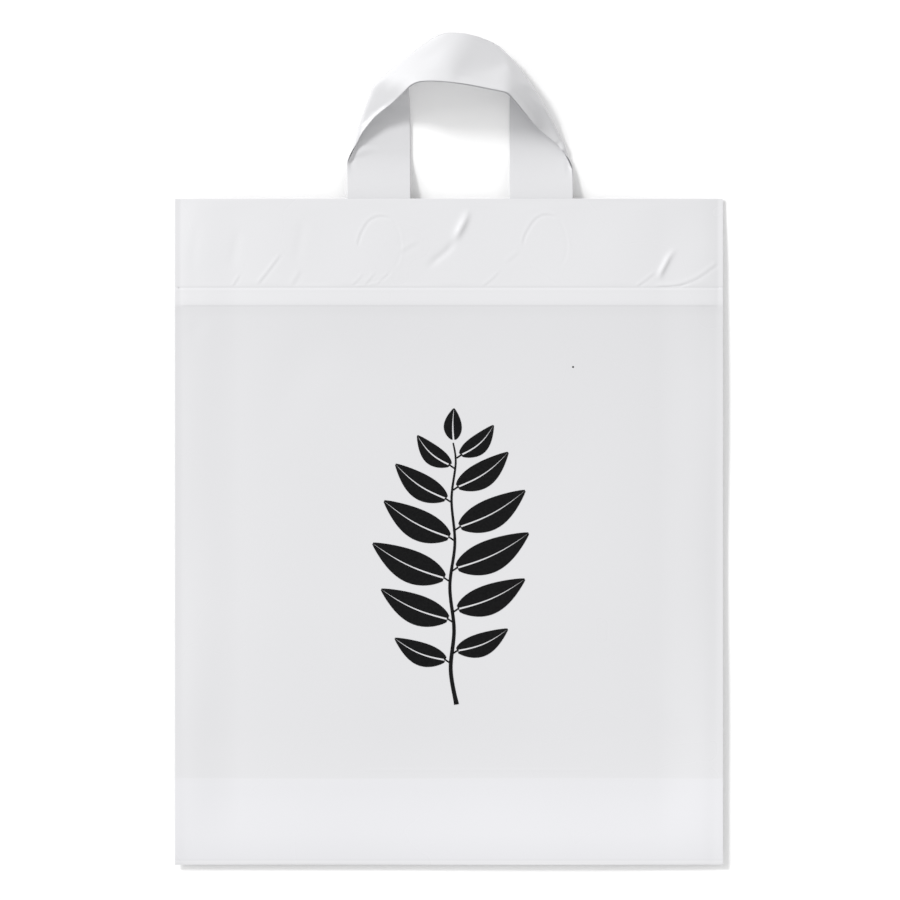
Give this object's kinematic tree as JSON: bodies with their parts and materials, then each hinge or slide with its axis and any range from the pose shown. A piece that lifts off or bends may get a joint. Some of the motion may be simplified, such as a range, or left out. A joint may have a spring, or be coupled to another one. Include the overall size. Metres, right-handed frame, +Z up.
{
  "type": "plastic carrier bag",
  "caption": "Flat-lying white film carrier bag with a turned-in sealed hem, folded bottom gusset, welded sides and soft loop handles sealed inside the mouth.",
  "frame": {"origin": "under the middle of the whole bag, handles included, on the plane it lies on", "axes": "+X across the bag to the right as seen from the printed front, +Y from the bottom edge towards the handles, +Z up from the back panel through the front panel"},
  "size_m": [0.3288, 0.499, 0.0386],
  "materials": {
    "body_film": "soft satin white polyethylene film with fine wrinkles",
    "handle_film": "soft satin white polyethylene film, slightly thicker",
    "ink": "flat black print on the front panel"
  },
  "bodies": {
    "root": {"bag_body": "body_film", "front_handle": "handle_film", "back_handle": "handle_film"}
  },
  "joints": []
}
